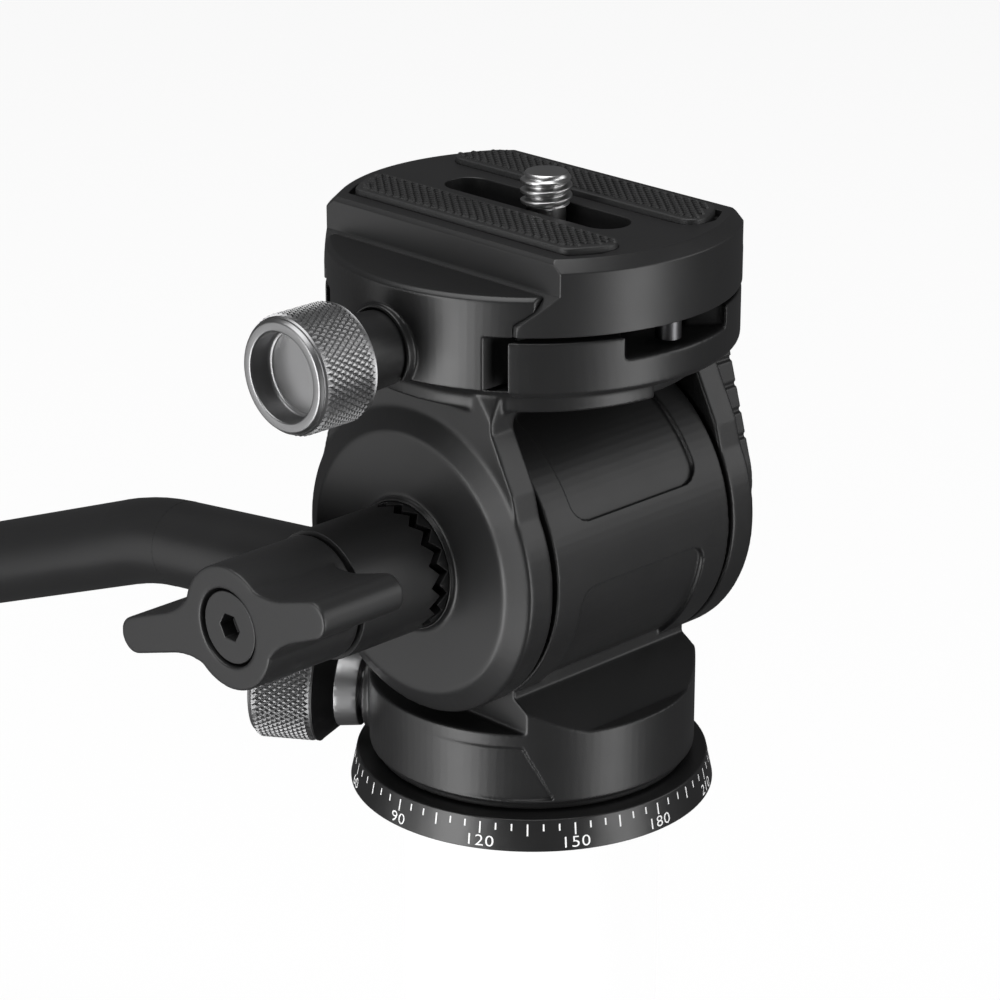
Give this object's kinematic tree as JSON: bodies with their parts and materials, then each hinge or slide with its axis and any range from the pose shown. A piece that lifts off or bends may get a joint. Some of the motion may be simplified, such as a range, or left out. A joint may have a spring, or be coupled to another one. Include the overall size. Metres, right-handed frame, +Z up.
{
  "type": "fluid video head",
  "caption": "Compact fluid video head: pan base with degree dial, tilt drum in a yoke, dovetail clamp with quick plate, and a bent handle on a toothed barrel.",
  "frame": {"origin": "middle of the base's mounting face, at the mouth of the tripod thread, on the pan axis", "axes": "+Z up along the pan axis; +X along the tilt axis toward the tilt lock, so the handle and the clamp knob are on -X; -Y is the front"},
  "size_m": [0.0795, 0.2132, 0.1158],
  "materials": {
    "black_aluminium": "satin black anodised",
    "black_rubber": "matte moulded",
    "steel": "turned",
    "dark_steel": "black oxide",
    "bronze": "sintered",
    "nylon": "moulded",
    "gunmetal": "gunmetal anodised, diamond knurled",
    "silver": "clear anodised, diamond knurled",
    "grease_ring": "moulded"
  },
  "bodies": {
    "base": {"base_ring": "black_aluminium", "mount_bush": "bronze", "pan_spindle": "steel", "base_screws": "dark_steel", "pan_thrust_washer": "nylon", "spindle_washer": "steel", "spindle_nut": "steel"},
    "pan_body": {"pan_housing": "black_aluminium", "pan_bush": "bronze", "pan_damping_ring": "grease_ring", "tilt_bush_left": "bronze", "tilt_bush_right": "bronze"},
    "pan_brake": {"pan_brake_pad": "nylon"},
    "pan_knob": {"pan_lock_knob": "silver", "pan_lock_collar": "silver", "pan_lock_stud": "steel"},
    "tilt_yoke": {"yoke": "black_aluminium", "tilt_shaft": "steel", "tilt_washer_left": "nylon", "tilt_washer_right": "nylon", "rosette_ring": "black_aluminium", "jaw_guide_pins": "steel"},
    "tilt_brake": {"tilt_pressure_washer": "steel"},
    "tilt_lever": {"tilt_lock_lever": "black_aluminium", "tilt_lock_stud": "steel", "lever_cap": "black_aluminium"},
    "jaw": {"clamp_jaw": "black_aluminium"},
    "jaw_knob": {"clamp_knob": "gunmetal", "clamp_collar": "black_aluminium", "clamp_stud": "steel"},
    "plate": {"quick_plate": "black_aluminium", "plate_pads": "black_rubber", "stop_pins": "dark_steel"},
    "screw_slider": {"screw_washer": "nylon"},
    "screw": {"camera_screw": "steel"},
    "handle_release": {"handle_washer": "steel"},
    "handle": {"handle_barrel": "black_aluminium", "pan_bar": "black_aluminium", "handle_grip": "black_rubber", "grip_cap": "black_rubber"},
    "wing": {"wing_knob": "black_aluminium", "wing_bolt": "dark_steel"}
  },
  "joints": [
    {"name": "pan", "type": "hinge", "parent": "base", "child": "pan_body", "pos_m": [0, 0, 0], "axis": [0, 0, 1], "continuous": true},
    {"name": "pan_lock_travel", "type": "slide", "parent": "pan_body", "child": "pan_brake", "axis": [-0.5592, 0.829, 0], "range_m": [0, 0.001]},
    {"name": "pan_lock_turn", "type": "hinge", "parent": "pan_brake", "child": "pan_knob", "pos_m": [0, 0, 0.0097], "axis": [-0.5592, 0.829, 0], "range_deg": [0, 362]},
    {"name": "tilt", "type": "hinge", "parent": "pan_body", "child": "tilt_yoke", "pos_m": [0, 0, 0.035], "axis": [1, 0, 0], "range_deg": [-20, 90]},
    {"name": "tilt_lock_travel", "type": "slide", "parent": "tilt_yoke", "child": "tilt_brake", "axis": [1, 0, 0], "range_m": [0, 0.00025]},
    {"name": "tilt_lock_turn", "type": "hinge", "parent": "tilt_brake", "child": "tilt_lever", "pos_m": [0.023, 0, 0.035], "axis": [1, 0, 0], "range_deg": [0, 91]},
    {"name": "jaw_travel", "type": "slide", "parent": "tilt_yoke", "child": "jaw", "axis": [-1, 0, 0], "range_m": [0, 0.004]},
    {"name": "jaw_knob_turn", "type": "hinge", "parent": "jaw", "child": "jaw_knob", "pos_m": [-0.03, 0, 0.0635], "axis": [-1, 0, 0], "range_deg": [0, 1802]},
    {"name": "plate_slide", "type": "slide", "parent": "tilt_yoke", "child": "plate", "axis": [0, 1, 0], "range_m": [-0.0042, 0.0042]},
    {"name": "screw_slide", "type": "slide", "parent": "plate", "child": "screw_slider", "axis": [0, 1, 0], "range_m": [-0.0099, 0.0133]},
    {"name": "screw_turn", "type": "hinge", "parent": "screw_slider", "child": "screw", "pos_m": [0, -0.00215, 0.0763], "axis": [0, 0, 1], "continuous": true},
    {"name": "handle_travel", "type": "slide", "parent": "tilt_yoke", "child": "handle_release", "axis": [-1, 0, 0], "range_m": [-0.0012, 0.0008]},
    {"name": "handle_angle", "type": "hinge", "parent": "handle_release", "child": "handle", "pos_m": [-0.0304, 0, 0.035], "axis": [1, 0, 0], "range_deg": [0, 60]},
    {"name": "wing_turn", "type": "hinge", "parent": "handle_release", "child": "wing", "pos_m": [-0.0364, 0, 0.035], "axis": [-1, 0, 0], "range_deg": [-434, 290]}
  ],
  "couplings": [
    {"joint": "pan_lock_turn", "follows": "pan_lock_travel", "rad_per_m": 6283.2},
    {"joint": "tilt_lock_turn", "follows": "tilt_lock_travel", "rad_per_m": 6283.2},
    {"joint": "jaw_knob_turn", "follows": "jaw_travel", "rad_per_m": 7854},
    {"joint": "wing_turn", "follows": "handle_travel", "rad_per_m": 6283.2}
  ]
}
